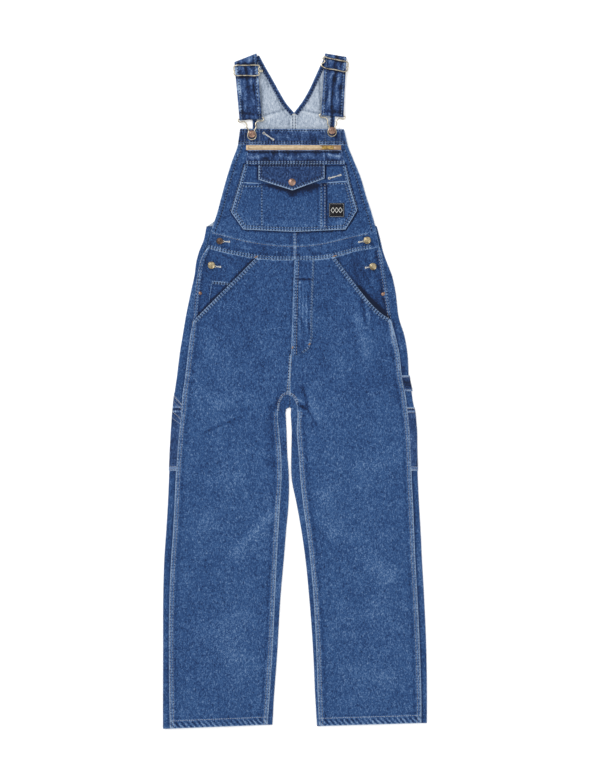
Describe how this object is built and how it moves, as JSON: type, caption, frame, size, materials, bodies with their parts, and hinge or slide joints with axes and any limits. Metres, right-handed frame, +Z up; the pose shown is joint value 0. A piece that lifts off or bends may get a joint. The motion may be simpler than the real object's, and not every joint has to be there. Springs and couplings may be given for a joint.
{
  "type": "denim dungarees",
  "caption": "Denim dungarees laid flat, front up, straps folded forward and hooked to the bib's buttons, with zip, patch and side pockets.",
  "frame": {"origin": "middle of the rectangle that the garment covers, on the surface that it lies on", "axes": "+X to the right as seen from above (the wearer's left), +Y from the hems to the shoulders, +Z up from the surface"},
  "size_m": [0.6063, 1.5526, 0.0139],
  "materials": {
    "denim": "matte",
    "denim_shaded": "matte",
    "denim_reverse": "matte",
    "label_patch": "matte",
    "zip_tape": "matte",
    "buckle_wire": "satin",
    "buttons": "satin",
    "zip_metal": "satin",
    "thread_pale": "matte",
    "thread_rust": "matte"
  },
  "bodies": {
    "garment": {"back_leg_left": "denim", "back_leg_right": "denim", "front_leg_left": "denim", "front_leg_right": "denim", "fly": "denim", "waistband_left": "denim", "waistband_right": "denim", "bib_left": "denim", "bib_right": "denim", "bib_top_band": "denim", "zip_pocket": "denim", "pocket_base": "denim", "pocket_front": "denim", "pocket_flap": "denim", "pocket_facing_left": "denim_shaded", "pocket_facing_right": "denim_shaded", "coin_pocket": "denim_shaded", "tool_pocket_left": "denim_shaded", "tool_pocket_right": "denim_shaded", "hammer_loop": "denim_shaded", "strap_left": "denim_shaded", "strap_right": "denim_shaded", "neck_binding_left": "denim_shaded", "neck_binding_right": "denim_shaded", "armhole_binding_left": "denim_shaded", "armhole_binding_right": "denim_shaded", "back_bib_left": "denim_reverse", "back_bib_right": "denim_reverse", "label": "label_patch", "zip_tape": "zip_tape", "hook_left": "buckle_wire", "hook_right": "buckle_wire", "slider_left": "buckle_wire", "slider_right": "buckle_wire", "button_bib_left": "buttons", "button_bib_right": "buttons", "button_side_upper_left": "buttons", "button_side_upper_right": "buttons", "button_side_lower_left": "buttons", "button_side_lower_right": "buttons", "flap_snap": "buttons", "rivet_left": "buttons", "rivet_right": "buttons", "zip_slider": "zip_metal"},
    "zip_pull": {"zip_pull": "zip_metal"}
  },
  "joints": [
    {"name": "zip_pull_turn", "type": "hinge", "parent": "garment", "child": "zip_pull", "pos_m": [0.0712, 0.5595, 0.01149], "axis": [0, -1, 0], "range_deg": [0, 185]}
  ]
}
